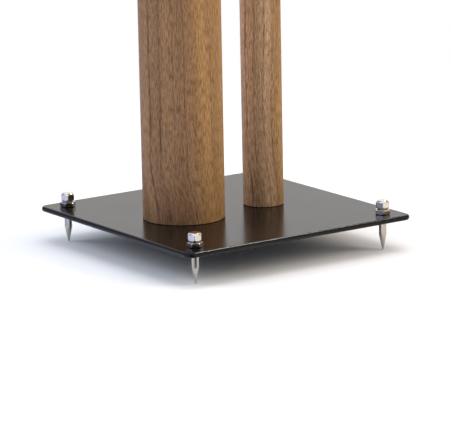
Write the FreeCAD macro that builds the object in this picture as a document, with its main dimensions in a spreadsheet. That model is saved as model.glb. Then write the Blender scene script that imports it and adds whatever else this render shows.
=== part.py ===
import FreeCAD, Part
import math
import os
import Sketcher

# Loudspeaker stand: two round walnut-faced columns between a steel base plate and a steel top plate,
# on four floor spikes that are screwed through the base and held by lock nuts.
# Millimetres and degrees. +Z is up and -Y is the front. The origin is on the floor, under the
# middle of the base plate.

DIMENSIONS = {
    # whole stand
    "stand_height": 600,          # floor to the upper face of the top plate
    "spike_reach": 29,            # spike tip to the underside of the base plate
    # plates
    "base_width": 254,
    "base_depth": 249,
    "base_thickness": 5,
    "base_corner_radius": 8,
    "base_edge_round": 2.2,
    "top_width": 180,
    "top_depth": 210,
    "top_thickness": 5,
    "top_corner_radius": 8,
    "top_edge_round": 2.2,
    # columns: outer diameter over the veneer, steel wall, and place along Y
    "main_diameter": 76.2,
    "main_wall": 2,
    "main_y": -44.5,
    "rear_diameter": 38.1,
    "rear_wall": 1.5,
    "rear_y": 45.3,
    "veneer_thickness": 0.6,
    "shadow_gap": 0.4,            # slot between a column and a plate, where the end disc shows
    # end discs, welded into the tubes
    "main_disc_thickness": 10,
    "rear_disc_thickness": 10,
    "disc_clearance": 0.05,
    # countersunk column screws
    "main_screw_circle": 44,
    "main_screw_count": 3,
    "rear_screw_circle": 16,
    "rear_screw_count": 2,
    "screw_diameter": 6,
    "screw_head_diameter": 12,
    "screw_length": 13,           # from the head's face to the end
    "screw_sink": 0.2,            # head's face below the plate's face
    "screw_socket_flats": 4,
    "screw_socket_depth": 2.3,
    "screw_hole_clearance": 0.3,
    "screw_seat_clearance": 0.05,
    # floor spikes
    "spike_inset": 20,            # spike axis to each edge of the base plate
    "spike_thread_diameter": 8,
    "spike_thread_length": 11.5,  # downwards from the head
    "spike_shank_diameter": 7,
    "spike_cone_length": 14.5,
    "spike_tip_diameter": 1,
    "spike_head_flats": 12,
    "spike_head_height": 8.5,
    "spike_head_face": 9.4,       # round end face left by the bevels
    "spike_head_bevel": 45,
    # lock nuts
    "nut_flats": 13,
    "nut_height": 4.8,
    "nut_face": 12,
    "nut_bevel": 30,
    "thread_clearance": 0.05,
    # how each head and nut happens to be turned
    "head_turn_front_left": 30,
    "head_turn_front_right": 23,
    "head_turn_rear_left": 12,
    "head_turn_rear_right": 29,
    "nut_turn_front_left": 7,
    "nut_turn_front_right": 3,
    "nut_turn_rear_left": 20,
    "nut_turn_rear_right": 32,
    # rubber pads on the top plate
    "pad_diameter": 14,
    "pad_height": 2.5,
    "pad_edge_bevel": 0.8,
    "pad_inset": 18,              # pad centre to each edge of the top plate
}

COLUMNS = ("main", "rear")
CORNERS = {
    "front_left": ("-", "-"),
    "front_right": ("+", "-"),
    "rear_left": ("-", "+"),
    "rear_right": ("+", "+"),
}
BASE_UNDERSIDE = "Dimensions.spike_reach"
BASE_FACE = "Dimensions.spike_reach + Dimensions.base_thickness"
TOP_UNDERSIDE = "Dimensions.stand_height - Dimensions.top_thickness"
TOP_FACE = "Dimensions.stand_height"
CUTTING_FEATURES = ("PartDesign::Pocket", "PartDesign::Groove", "PartDesign::Hole")

doc = FreeCAD.newDocument("SpeakerStand")
sheet = doc.addObject("Spreadsheet::Sheet", "Dimensions")
for row, (name, value) in enumerate(DIMENSIONS.items(), start=1):
    sheet.set(f"A{row}", name)
    sheet.set(f"B{row}", str(value))
    sheet.setAlias(f"B{row}", name)
doc.recompute()

nodes = []


# ---- bodies, sketches and features ----

def new_body(label, x="0", y="0", z="0", turned_over=False, turn=None):
    """Add a sub-part's body at a place in the stand, turned over about Y or turned about Z."""
    body = doc.addObject("PartDesign::Body", label)
    body.Label = label
    if turned_over:
        body.Placement.Rotation = FreeCAD.Rotation(FreeCAD.Vector(0, 1, 0), 180)
    body.setExpression("Placement.Base.x", x)
    body.setExpression("Placement.Base.y", y)
    body.setExpression("Placement.Base.z", z)
    if turn:
        body.setExpression("Placement.Rotation.Angle", f"{turn} * 1deg")
    nodes.append(body)
    return body


def new_sketch(body, name, plane="XY_Plane", x="0", y="0", z="0"):
    """Add a sketch on one of the body's own planes, moved within and off that plane."""
    sketch = body.newObject("Sketcher::SketchObject", f"{body.Label}_{name}")
    for feature in body.Origin.OriginFeatures:
        if feature.Role == plane:
            sketch.AttachmentSupport = [(feature, "")]
    sketch.MapMode = "FlatFace"
    sketch.setExpression("AttachmentOffset.Base.x", x)
    sketch.setExpression("AttachmentOffset.Base.y", y)
    sketch.setExpression("AttachmentOffset.Base.z", z)
    return sketch


def dimension(sketch, kind, size, *elements):
    """Constrain elements of a sketch by a size from the sheet."""
    index = sketch.addConstraint(Sketcher.Constraint(kind, *elements, 1.0))
    sketch.setExpression(f"Constraints[{index}]", size)


def place_point(sketch, line, end, x, y):
    """Fix one point of a sketch by its distances from the sketch's origin."""
    if x == "0":
        sketch.addConstraint(Sketcher.Constraint("PointOnObject", line, end, -2))
    else:
        dimension(sketch, "DistanceX", x, -1, 1, line, end)
    if y == "0":
        sketch.addConstraint(Sketcher.Constraint("PointOnObject", line, end, -1))
    else:
        dimension(sketch, "DistanceY", y, -1, 1, line, end)


def draw_circle(sketch, diameter, x="0", y="0"):
    circle = sketch.addGeometry(Part.Circle(FreeCAD.Vector(), FreeCAD.Vector(0, 0, 1), 1))
    dimension(sketch, "Diameter", diameter, circle)
    place_point(sketch, circle, 3, x, y)


def draw_outline(sketch, corners):
    """Draw a closed outline of straight lines, roughly at first, and then dimension its corners."""
    count = len(corners)
    rough = []
    for number in range(count):
        angle = 2 * math.pi * number / count
        rough.append(FreeCAD.Vector(20 + 10 * math.cos(angle), 20 + 10 * math.sin(angle), 0))
    for number in range(count):
        sketch.addGeometry(Part.LineSegment(rough[number], rough[(number + 1) % count]))
    for number in range(count):
        following = (number + 1) % count
        sketch.addConstraint(Sketcher.Constraint("Coincident", number, 2, following, 1))
    for number, (x, y) in enumerate(corners):
        place_point(sketch, number, 1, x, y)


def draw_hexagon(sketch, flats):
    """Draw a regular hexagon about the sketch's origin, with its first corner on the X axis."""
    rough_radius = 5
    corners = []
    for number in range(6):
        angle = math.radians(60 * number)
        corners.append(FreeCAD.Vector(rough_radius * math.cos(angle), rough_radius * math.sin(angle), 0))
    for number in range(6):
        sketch.addGeometry(Part.LineSegment(corners[number], corners[(number + 1) % 6]))
    ring = Part.Circle(FreeCAD.Vector(), FreeCAD.Vector(0, 0, 1), rough_radius)
    circle = sketch.addGeometry(ring, True)
    sketch.addConstraint(Sketcher.Constraint("Coincident", circle, 3, -1, 1))
    for number in range(6):
        sketch.addConstraint(Sketcher.Constraint("Coincident", number, 2, (number + 1) % 6, 1))
        sketch.addConstraint(Sketcher.Constraint("PointOnObject", number, 1, circle))
    for number in range(1, 6):
        sketch.addConstraint(Sketcher.Constraint("Equal", 0, number))
    sketch.addConstraint(Sketcher.Constraint("PointOnObject", 0, 1, -1))
    dimension(sketch, "Diameter", f"{flats} / cos(30deg)", circle)


def add_pad(body, sketch, length):
    pad = body.newObject("PartDesign::Pad", f"{sketch.Label}_pad")
    pad.Profile = sketch
    pad.setExpression("Length", length)
    return pad


def add_pocket(body, sketch, depth=None):
    """Cut a sketch upwards, to a depth or right through."""
    pocket = body.newObject("PartDesign::Pocket", f"{sketch.Label}_pocket")
    pocket.Profile = sketch
    pocket.Reversed = True
    if depth:
        pocket.setExpression("Length", depth)
    else:
        pocket.Type = "ThroughAll"
    return pocket


def add_turned(body, sketch, kind):
    """Revolve or groove a sketch about its own vertical axis."""
    turned = body.newObject(f"PartDesign::{kind}", f"{sketch.Label}_{kind.lower()}")
    turned.Profile = sketch
    turned.ReferenceAxis = (sketch, ["V_Axis"])
    turned.Angle = 360
    return turned


def add_pattern(body, feature, axis_sketch, axis, count):
    """Repeat features evenly round an axis of a sketch."""
    features = feature if isinstance(feature, list) else [feature]
    pattern = body.newObject("PartDesign::PolarPattern", f"{features[0].Label}_pattern")
    pattern.Originals = features
    pattern.Axis = (axis_sketch, [axis])
    pattern.Angle = 360
    pattern.setExpression("Occurrences", count)
    body.Tip = pattern
    return pattern


def add_fillet(body, base, edges, radius):
    fillet = body.newObject("PartDesign::Fillet", f"{base.Label}_fillet")
    fillet.Base = (base, edges)
    fillet.setExpression("Radius", radius)
    return fillet


def edge_names(feature, upright):
    """Name a plate's upright edges, or its level ones."""
    names = []
    for number, edge in enumerate(feature.Shape.Edges, start=1):
        is_upright = edge.BoundBox.ZLength > edge.BoundBox.DiagonalLength / 2
        if is_upright == upright:
            names.append(f"Edge{number}")
    return names


def bevel_hexagon(body, name, flats, face, angle, level, side):
    """Turn the corners off one end of a hexagonal piece. side is + where the piece goes on upwards."""
    sketch = new_sketch(body, name, "XZ_Plane")
    inner = f"{face} / 2"
    outer = f"{flats} * 0.6"
    depth = f"({outer} - {inner}) * tan({angle} * 1deg)"
    draw_outline(sketch, [(inner, level), (outer, level), (outer, f"{level} {side} {depth}")])
    return add_turned(body, sketch, "Groove")


# ---- plates ----

def build_plate(name, z, turned_over):
    """Make a plate from its outer face inwards, with its countersunk holes for the column screws."""
    body = new_body(f"{name}_plate", z=z, turned_over=turned_over)
    half_width = f"Dimensions.{name}_width / 2"
    half_depth = f"Dimensions.{name}_depth / 2"
    outline = new_sketch(body, "outline")
    draw_outline(outline, [
        (f"-{half_width}", f"-{half_depth}"),
        (half_width, f"-{half_depth}"),
        (half_width, half_depth),
        (f"-{half_width}", half_depth),
    ])
    blank = add_pad(body, outline, f"Dimensions.{name}_thickness")
    doc.recompute()
    rounded = add_fillet(body, blank, edge_names(blank, True), f"Dimensions.{name}_corner_radius")
    doc.recompute()
    add_fillet(body, rounded, edge_names(rounded, False), f"Dimensions.{name}_edge_round")
    for column in COLUMNS:
        cut_screw_holes(body, column)
    return body


def cut_screw_holes(body, column):
    """Cut one column's ring of countersunk holes, from the plate's outer face."""
    sketch = new_sketch(body, f"{column}_screws", y=f"Dimensions.{column}_y")
    diameter = "Dimensions.screw_diameter + 2 * Dimensions.screw_hole_clearance"
    draw_circle(sketch, diameter, y=f"Dimensions.{column}_screw_circle / 2")
    doc.recompute()
    hole = body.newObject("PartDesign::Hole", f"{sketch.Label}_hole")
    hole.Profile = sketch
    hole.ThreadType = "None"
    hole.DepthType = "ThroughAll"
    hole.Reversed = True
    hole.HoleCutType = "Countersink"
    hole.HoleCutCustomValues = True
    hole.HoleCutCountersinkAngle = 90
    head = "Dimensions.screw_head_diameter / 2 + Dimensions.screw_sink"
    hole.setExpression("Diameter", diameter)
    hole.setExpression("HoleCutDiameter", f"2 * ({head} + Dimensions.screw_seat_clearance)")
    doc.recompute()
    add_pattern(body, hole, sketch, "N_Axis", f"Dimensions.{column}_screw_count")


def cut_spike_holes(body):
    sketch = new_sketch(body, "spike_holes")
    for side_x, side_y in CORNERS.values():
        draw_circle(
            sketch,
            "Dimensions.spike_thread_diameter + 2 * Dimensions.thread_clearance",
            f"{side_x}(Dimensions.base_width / 2 - Dimensions.spike_inset)",
            f"{side_y}(Dimensions.base_depth / 2 - Dimensions.spike_inset)",
        )
    add_pocket(body, sketch)


# ---- columns ----

def build_ring(label, column, outer, inner):
    """Make a tube or sleeve as long as the column between its two shadow slots."""
    foot = f"{BASE_FACE} + Dimensions.shadow_gap"
    body = new_body(label, y=f"Dimensions.{column}_y", z=foot)
    sketch = new_sketch(body, "section")
    draw_circle(sketch, outer)
    draw_circle(sketch, inner)
    add_pad(body, sketch, f"{TOP_UNDERSIDE} - ({foot}) - Dimensions.shadow_gap")


def build_disc(column, end, z, turned_over):
    """Make the disc that closes a tube's end and takes the column screws."""
    y = f"Dimensions.{column}_y"
    body = new_body(f"{column}_column_{end}_disc", y=y, z=z, turned_over=turned_over)
    section = new_sketch(body, "section")
    draw_circle(section, f"{tube_bore(column)} - 2 * Dimensions.disc_clearance")
    add_pad(body, section, f"Dimensions.{column}_disc_thickness")
    sketch = new_sketch(body, "screws")
    draw_circle(
        sketch,
        "Dimensions.screw_diameter + 2 * Dimensions.thread_clearance",
        y=f"Dimensions.{column}_screw_circle / 2",
    )
    pocket = add_pocket(body, sketch)
    add_pattern(body, pocket, sketch, "N_Axis", f"Dimensions.{column}_screw_count")


def build_screws(column, end, z, turned_over):
    """Make one column end's countersunk screws, each from its head's face inwards."""
    label = f"{column}_column_{end}_screws"
    body = new_body(label, y=f"Dimensions.{column}_y", z=z, turned_over=turned_over)
    ring_radius = f"Dimensions.{column}_screw_circle / 2"
    head = "Dimensions.screw_head_diameter / 2"
    shank = "Dimensions.screw_diameter / 2"
    face = "Dimensions.screw_sink"
    profile = new_sketch(body, "profile", "XZ_Plane", z=f"-{ring_radius}")
    draw_outline(profile, [
        ("0", face),
        (head, face),
        (shank, f"{face} + {head} - {shank}"),
        (shank, f"{face} + Dimensions.screw_length"),
        ("0", f"{face} + Dimensions.screw_length"),
    ])
    screw = add_turned(body, profile, "Revolution")
    socket = new_sketch(body, "socket", y=ring_radius)
    draw_hexagon(socket, "Dimensions.screw_socket_flats")
    recess = add_pocket(body, socket, f"{face} + Dimensions.screw_socket_depth")
    axis = new_sketch(body, "axis")
    add_pattern(body, [screw, recess], axis, "N_Axis", f"Dimensions.{column}_screw_count")


def tube_outside(column):
    return f"(Dimensions.{column}_diameter - 2 * Dimensions.veneer_thickness)"


def tube_bore(column):
    return f"({tube_outside(column)} - 2 * Dimensions.{column}_wall)"


# ---- spikes and lock nuts ----

def corner_place(corner):
    side_x, side_y = CORNERS[corner]
    x = f"{side_x}(Dimensions.base_width / 2 - Dimensions.spike_inset)"
    y = f"{side_y}(Dimensions.base_depth / 2 - Dimensions.spike_inset)"
    return x, y


def build_spike(corner):
    """Turn a spike from its tip up: cone, smooth shank, thread, and a hexagonal head bevelled at both ends."""
    x, y = corner_place(corner)
    body = new_body(f"spike_{corner}", x, y, turn=f"Dimensions.head_turn_{corner}")
    tip = "Dimensions.spike_tip_diameter / 2"
    shank = "Dimensions.spike_shank_diameter / 2"
    thread = "Dimensions.spike_thread_diameter / 2"
    seat = f"({BASE_FACE} + Dimensions.nut_height)"
    thread_start = f"{seat} - Dimensions.spike_thread_length"
    profile = new_sketch(body, "profile", "XZ_Plane")
    draw_outline(profile, [
        ("0", "0"),
        (tip, "0"),
        (shank, "Dimensions.spike_cone_length"),
        (shank, f"{thread_start} - ({thread} - {shank})"),
        (thread, thread_start),
        (thread, seat),
        ("0", seat),
    ])
    add_turned(body, profile, "Revolution")
    flats = "Dimensions.spike_head_flats"
    hexagon = new_sketch(body, "head", z=seat)
    draw_hexagon(hexagon, flats)
    add_pad(body, hexagon, "Dimensions.spike_head_height")
    face = "Dimensions.spike_head_face"
    bevel = "Dimensions.spike_head_bevel"
    crown = f"({seat} + Dimensions.spike_head_height)"
    bevel_hexagon(body, "lower_bevel", flats, face, bevel, seat, "+")
    bevel_hexagon(body, "upper_bevel", flats, face, bevel, crown, "-")


def build_lock_nut(corner):
    x, y = corner_place(corner)
    body = new_body(f"lock_nut_{corner}", x, y, BASE_FACE, turn=f"Dimensions.nut_turn_{corner}")
    flats = "Dimensions.nut_flats"
    height = "Dimensions.nut_height"
    hexagon = new_sketch(body, "hexagon")
    draw_hexagon(hexagon, flats)
    add_pad(body, hexagon, height)
    bore = new_sketch(body, "bore")
    draw_circle(bore, "Dimensions.spike_thread_diameter + 2 * Dimensions.thread_clearance")
    add_pocket(body, bore)
    bevel_hexagon(body, "lower_bevel", flats, "Dimensions.nut_face", "Dimensions.nut_bevel", "0", "+")
    bevel_hexagon(body, "upper_bevel", flats, "Dimensions.nut_face", "Dimensions.nut_bevel", height, "-")


def build_pad(corner):
    """Make a round rubber pad with a bevelled upper edge."""
    side_x, side_y = CORNERS[corner]
    x = f"{side_x}(Dimensions.top_width / 2 - Dimensions.pad_inset)"
    y = f"{side_y}(Dimensions.top_depth / 2 - Dimensions.pad_inset)"
    body = new_body(f"rubber_pad_{corner}", x, y, TOP_FACE)
    sketch = new_sketch(body, "section")
    draw_circle(sketch, "Dimensions.pad_diameter")
    disc = add_pad(body, sketch, "Dimensions.pad_height")
    doc.recompute()
    upper_edge = max(range(len(disc.Shape.Edges)), key=lambda i: disc.Shape.Edges[i].CenterOfMass.z)
    bevel = body.newObject("PartDesign::Chamfer", f"{body.Label}_bevel")
    bevel.Base = (disc, [f"Edge{upper_edge + 1}"])
    bevel.setExpression("Size", "Dimensions.pad_edge_bevel")


# ---- the stand ----

base_plate = build_plate("base", BASE_UNDERSIDE, False)
cut_spike_holes(base_plate)
build_plate("top", TOP_FACE, True)

for column in COLUMNS:
    build_ring(f"{column}_column_tube", column, tube_outside(column), tube_bore(column))
    build_ring(f"{column}_column_veneer", column, f"Dimensions.{column}_diameter", tube_outside(column))
    build_disc(column, "lower", BASE_FACE, False)
    build_disc(column, "upper", TOP_UNDERSIDE, True)
    build_screws(column, "lower", BASE_UNDERSIDE, False)
    build_screws(column, "upper", TOP_FACE, True)

for corner in CORNERS:
    build_spike(corner)
    build_lock_nut(corner)
    build_pad(corner)

doc.recompute()

# Every feature must have been made, every cut must have taken material away, and every sketch
# must be held by its dimensions.
for item in doc.Objects:
    if "Invalid" in item.State or "Error" in item.State:
        raise RuntimeError(f"{item.Name} failed: {item.State}")
    if item.TypeId in CUTTING_FEATURES and item.Shape.Volume >= item.BaseFeature.Shape.Volume:
        raise RuntimeError(f"{item.Name} cuts nothing")
    if item.TypeId == "Sketcher::SketchObject" and item.GeometryCount and not item.FullyConstrained:
        raise RuntimeError(f"{item.Name} is not fully dimensioned")

os.makedirs("parts", exist_ok=True)
for node in nodes:
    shape = node.Shape
    if shape.isNull() or not shape.isValid():
        raise RuntimeError(f"{node.Label} has no valid solid")
    shape.exportStep(f"parts/{node.Label}.step")
    print(f"{node.Label}: {len(shape.Solids)} solid(s), {shape.Volume:.1f} mm3")
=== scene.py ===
import bmesh
import bpy
import math
from mathutils import Matrix, Vector


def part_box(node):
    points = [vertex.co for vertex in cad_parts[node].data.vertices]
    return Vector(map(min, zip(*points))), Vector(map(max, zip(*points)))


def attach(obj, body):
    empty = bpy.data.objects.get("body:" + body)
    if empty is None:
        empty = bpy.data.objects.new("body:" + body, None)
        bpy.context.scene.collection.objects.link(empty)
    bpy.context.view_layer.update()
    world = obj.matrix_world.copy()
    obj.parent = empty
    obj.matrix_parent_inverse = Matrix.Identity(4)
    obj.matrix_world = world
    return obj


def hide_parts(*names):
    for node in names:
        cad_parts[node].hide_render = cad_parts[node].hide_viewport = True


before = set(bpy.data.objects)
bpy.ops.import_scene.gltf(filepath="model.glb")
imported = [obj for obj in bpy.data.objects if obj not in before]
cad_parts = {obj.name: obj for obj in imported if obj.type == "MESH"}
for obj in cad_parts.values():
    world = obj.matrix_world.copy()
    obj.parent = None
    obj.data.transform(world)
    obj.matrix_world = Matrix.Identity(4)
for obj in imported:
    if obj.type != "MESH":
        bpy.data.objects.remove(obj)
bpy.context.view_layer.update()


# helpers for node trees and pieces

def plug(tree, socket, value):  # a socket gets a link, anything else is set on the input itself
    if isinstance(value, bpy.types.NodeSocket):
        tree.links.new(value, socket)
    elif value is not None:
        if socket.type == "RGBA" and len(value) == 3:
            value = (*value, 1)
        socket.default_value = value


def fill(tree, sockets, values):
    for name, value in values.items():
        plug(tree, sockets[name], value)


def addNode(tree, kind, values=(), output=0, **settings):  # returns the output to use next
    node = tree.nodes.new(kind)
    for name, value in settings.items():
        setattr(node, name, value)
    pairs = values.items() if isinstance(values, dict) else enumerate(values)
    for key, value in pairs:
        plug(tree, node.inputs[key], value)
    return node.outputs[output]


def calc(tree, operation, *values):
    return addNode(tree, "ShaderNodeMath", values, operation=operation)


def plus(tree, a, b):
    return calc(tree, "ADD", a, b)


def minus(tree, a, b):
    return calc(tree, "SUBTRACT", a, b)


def times(tree, a, b):
    return calc(tree, "MULTIPLY", a, b)


def over(tree, a, b):
    return calc(tree, "DIVIDE", a, b)


def absolute(tree, value):
    return calc(tree, "ABSOLUTE", value)


def cosine(tree, angle):
    return calc(tree, "COSINE", angle)


def sine(tree, angle):
    return calc(tree, "SINE", angle)


def vectorCalc(tree, operation, *values):
    output = "Value" if operation in ("DOT_PRODUCT", "LENGTH") else "Vector"
    return addNode(tree, "ShaderNodeVectorMath", values, output, operation=operation)


def joinXyz(tree, x, y, z):
    return addNode(tree, "ShaderNodeCombineXYZ", (x, y, z))


def splitXyz(tree, vector):
    node = addNode(tree, "ShaderNodeSeparateXYZ", (vector,)).node
    return tuple(node.outputs)


def polar(tree, radius, angle, height):
    return joinXyz(tree, times(tree, radius, cosine(tree, angle)),
                   times(tree, radius, sine(tree, angle)), height)


def ramp(tree, value, low, high, lowest=0.0, highest=1.0):  # a smooth step from low to high
    values = {"Value": value, "From Min": low, "From Max": high,
              "To Min": lowest, "To Max": highest}
    return addNode(tree, "ShaderNodeMapRange", values, interpolation_type="SMOOTHSTEP")


def mixColour(tree, factor, a, b, blend="MIX"):
    values = {0: factor, 6: a, 7: b}  # a mix node's sockets for the factor and for two colours
    return addNode(tree, "ShaderNodeMix", values, 2, data_type="RGBA", blend_type=blend)


def tinted(tree, colour, tint):
    return mixColour(tree, 1.0, colour, tint, "MULTIPLY")


def shaded(tree, colour, shade):
    return tinted(tree, colour, joinXyz(tree, shade, shade, shade))


def noise(tree, vector, scale, detail=2.0, roughness=0.5):
    values = {"Vector": vector, "Scale": scale, "Detail": detail, "Roughness": roughness}
    return addNode(tree, "ShaderNodeTexNoise", values)


def moved(tree, geometry, place, turn=None):
    values = {"Geometry": geometry, "Translation": place, "Rotation": turn}
    return addNode(tree, "GeometryNodeTransform", values)


def finished(tree, geometry, finish):  # the end of a tree: real faces with a material
    real = addNode(tree, "GeometryNodeRealizeInstances", (geometry,))
    return addNode(tree, "GeometryNodeSetMaterial", {"Geometry": real, "Material": finish})


def newTree(name, kind, inputs, outputs):  # inputs and outputs: name, socket type, default value
    tree = bpy.data.node_groups.new(name, kind)
    for direction, sockets in (("INPUT", inputs), ("OUTPUT", outputs)):
        for label, socketType, value in sockets:
            made = tree.interface.new_socket(
                label, in_out=direction, socket_type="NodeSocket" + socketType)
            if value is not None:
                made.default_value = value
    given = tree.nodes.new("NodeGroupInput").outputs
    result = tree.nodes.new("NodeGroupOutput").inputs
    return tree, given, result


def useGroup(tree, group, values):  # returns the first output; its node has the others
    kind = "GeometryNodeGroup" if tree.bl_idname == "GeometryNodeTree" else "ShaderNodeGroup"
    node = tree.nodes.new(kind)
    node.node_tree = group
    fill(tree, node.inputs, values)
    return node.outputs[0]


def growPiece(name, tree, values):  # runs a tree once and keeps its result as a plain mesh
    piece = bpy.data.objects.new(name, bpy.data.meshes.new(name + "Start"))
    bpy.context.scene.collection.objects.link(piece)
    modifier = piece.modifiers.new("build", "NODES")
    modifier.node_group = tree
    for item in tree.interface.items_tree:
        if item.in_out == "INPUT" and item.name in values:
            modifier[item.identifier] = values[item.name]
    depsgraph = bpy.context.evaluated_depsgraph_get()
    mesh = bpy.data.meshes.new_from_object(
        piece.evaluated_get(depsgraph), preserve_all_data_layers=True, depsgraph=depsgraph)
    piece.modifiers.clear()
    piece.data = mesh
    mesh.name = name
    if len(mesh.materials) > 1 and mesh.materials[0] is None:  # an empty first slot goes
        filled = [max(face.material_index - 1, 0) for face in mesh.polygons]
        mesh.materials.pop(index=0)
        mesh.polygons.foreach_set("material_index", filled)
    return piece


def dressNode(name, material):  # a CAD node keeps its shape and gets a finish
    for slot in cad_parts[name].material_slots:
        slot.material = material


# camera: the fit of the photograph, about the middle of the base plate's top face

cameraFit = {
    "azimuth": 55.74,        # degrees from the front, towards the right
    "elevation": 12.81,
    "roll": -1.156,
    "distance": 3.0775,      # metres
    "sideways": 0.00118,
    "upwards": -0.00659,
    "lens": 264.0,           # mm
    "sensor": 36,            # mm
    "farthest": 50,
    "aim": (0, 0, 0.034),
}


def makeCamera():  # returns the directions to the picture's right, unrolled, and to the camera
    azimuth, elevation, roll = (
        math.radians(cameraFit[turn]) for turn in ("azimuth", "elevation", "roll"))
    back = Vector((math.sin(azimuth) * math.cos(elevation),
                   -math.cos(azimuth) * math.cos(elevation), math.sin(elevation)))
    level = Vector((0, 0, 1)).cross(back).normalized()
    upright = back.cross(level)
    right = math.cos(roll) * level + math.sin(roll) * upright
    up = math.cos(roll) * upright - math.sin(roll) * level
    place = (Vector(cameraFit["aim"]) + cameraFit["distance"] * back
             + cameraFit["sideways"] * right + cameraFit["upwards"] * up)
    data = bpy.data.cameras.new("camera")
    data.lens = cameraFit["lens"]
    data.sensor_width = cameraFit["sensor"]
    data.clip_end = cameraFit["farthest"]
    camera = bpy.data.objects.new("camera", data)
    bpy.context.scene.collection.objects.link(camera)
    turned = Matrix((right, up, back)).transposed().to_4x4()
    camera.matrix_world = Matrix.Translation(place) @ turned
    bpy.context.scene.camera = camera
    return level, back


toRight, toCamera = makeCamera()
toFront = Vector((toCamera.x, toCamera.y, 0)).normalized()  # level, from the stand to the camera
print("camera placed")


# studio: pale floor, white surroundings that metal sees as stripes, and four soft panels

studio = {
    "surroundLevel": 0.46,           # how much the surroundings light the stand
    "coolSide": (0.85, 0.92, 1.10),  # their tint on the left and on the right
    "warmSide": (0.97, 0.97, 1.02),
    "tintReach": 0.7,                # how far to each side the tint goes on changing
    # the surroundings as metal and coat show them
    "shineLeft": (0.84, 0.92, 1.22),
    "shineRight": (1.12, 1.02, 0.86),
    "shineReach": 0.5,
    "shineTint": (1.0, 0.975, 0.945),   # at the back and overhead
    "shineBack": (0.67, 0.78),       # where the back begins, in half turns from the camera
    "shineTop": (0.6, 0.9),          # where overhead begins, 1 being straight up
    "stripes": ((0, 0.03), (20, 0.03), (36, 1.05), (56, 1.0), (68, 0.30), (80, 0.85), (92, 0.32),
                (128, 0.32), (145, 1.0), (180, 1.0)),   # degrees from the camera, and brightness
    # the floor, with places in metres from the middle
    "floorReach": 6.0,
    "floorColour": 0.86,
    "floorSeen": (1.0, 1.0, 1.0),
    "fade": (0.45, 1.1),             # where the floor goes white
    # painted reflection: as metal sees it, the floor past the stand is painted darker, bluish on
    # the left and warm on the right, and nearly black towards the camera
    "floorLeft": (0.50, 0.54, 0.74),    # beside the stand, as metal shows it
    "floorRight": (0.76, 0.68, 0.56),
    "floorSides": 0.12,
    "floorBeside": (0.17, 0.23),
    "floorAhead": 0.07,              # towards the camera, as metal shows it
    "aheadStart": (0.16, 0.23),
    "aheadWidth": (0.03, 0.10),
}
# a panel that shines is seen in metal, and one that lights falls on the stand and the floor
lamps = {
    "overheadPanel": {"size": 1.7, "power": 19.0, "colour": (1.0, 0.985, 0.97),
                      "right": 0.26, "front": 0.06, "up": 1.7, "shines": False, "lights": True},
    "ridgePanel": {"size": 0.28, "power": 12.0, "colour": (1.0, 0.98, 0.95),
                   "right": 0.80, "front": -0.55, "up": 1.6, "shines": True, "lights": False},
    "leftPanel": {"size": 0.9, "power": 12.5, "colour": (0.86, 0.93, 1.04),
                  "right": -1.45, "front": -0.10, "up": 0.88, "shines": False, "lights": True},
    "sidePanel": {"size": 0.8, "power": 19.5, "colour": (1.0, 0.90, 0.78),
                  "right": 1.70, "front": 0.30, "up": 0.88, "shines": False, "lights": True},
}
lampAim = Vector((0, 0, 0.1))


def makeSurroundings():
    scene = bpy.context.scene
    scene.view_settings.view_transform = "Standard"
    world = bpy.data.worlds.new("studio")
    scene.world = world
    world.use_nodes = True
    tree = world.node_tree
    tree.nodes.clear()
    direction = addNode(tree, "ShaderNodeTexCoord", output="Generated")
    sideways = vectorCalc(tree, "DOT_PRODUCT", direction, tuple(toRight))
    forwards = vectorCalc(tree, "DOT_PRODUCT", direction, tuple(toFront))
    height = splitXyz(tree, direction)[2]

    def toSide(reach):
        return ramp(tree, sideways, -reach, reach)

    tint = mixColour(tree, toSide(studio["tintReach"]), studio["coolSide"], studio["warmSide"])
    # as metal shows them, light and dark stripes from the camera round to the back
    turn = over(tree, calc(tree, "ARCTAN2", absolute(tree, sideways), forwards), math.pi)
    stripes = tree.nodes.new("ShaderNodeValToRGB")
    plug(tree, stripes.inputs[0], turn)
    places = stripes.color_ramp.elements
    ends = {0: 0, 180: -1}  # a new colour ramp has these two already
    for place, shade in studio["stripes"]:
        element = places[ends[place]] if place in ends else places.new(place / 180)
        element.color = (shade, shade, shade, 1)
    shine = mixColour(
        tree, toSide(studio["shineReach"]), studio["shineLeft"], studio["shineRight"])
    shine = mixColour(tree, ramp(tree, turn, *studio["shineBack"]), shine, studio["shineTint"])
    shine = tinted(tree, shine, stripes.outputs[0])
    shine = mixColour(tree, ramp(tree, height, *studio["shineTop"]), shine, studio["shineTint"])
    path = addNode(tree, "ShaderNodeLightPath").node
    seen = calc(tree, "MAXIMUM", path.outputs["Is Camera Ray"], path.outputs["Is Glossy Ray"])
    colour = mixColour(tree, path.outputs["Is Glossy Ray"], tint, shine)
    colour = mixColour(tree, path.outputs["Is Camera Ray"], colour, (1, 1, 1))
    strength = addNode(tree, "ShaderNodeMix", {0: seen, 2: studio["surroundLevel"], 3: 1.0})
    background = addNode(tree, "ShaderNodeBackground", (colour, strength))
    out = tree.nodes.new("ShaderNodeOutputWorld")
    tree.links.new(background, out.inputs["Surface"])


def makeLamps():
    for name, facts in lamps.items():
        data = bpy.data.lights.new(name, "AREA")
        data.shape = "SQUARE"
        data.size = facts["size"]
        data.energy = facts["power"]
        data.color = facts["colour"]
        lamp = bpy.data.objects.new(name, data)
        bpy.context.scene.collection.objects.link(lamp)
        place = toRight * facts["right"] + toFront * facts["front"] + Vector((0, 0, facts["up"]))
        lamp.location = place
        lamp.rotation_euler = (place - lampAim).to_track_quat("Z", "Y").to_euler()
        lamp.visible_glossy = facts["shines"]
        lamp.visible_diffuse = facts["lights"]


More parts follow.
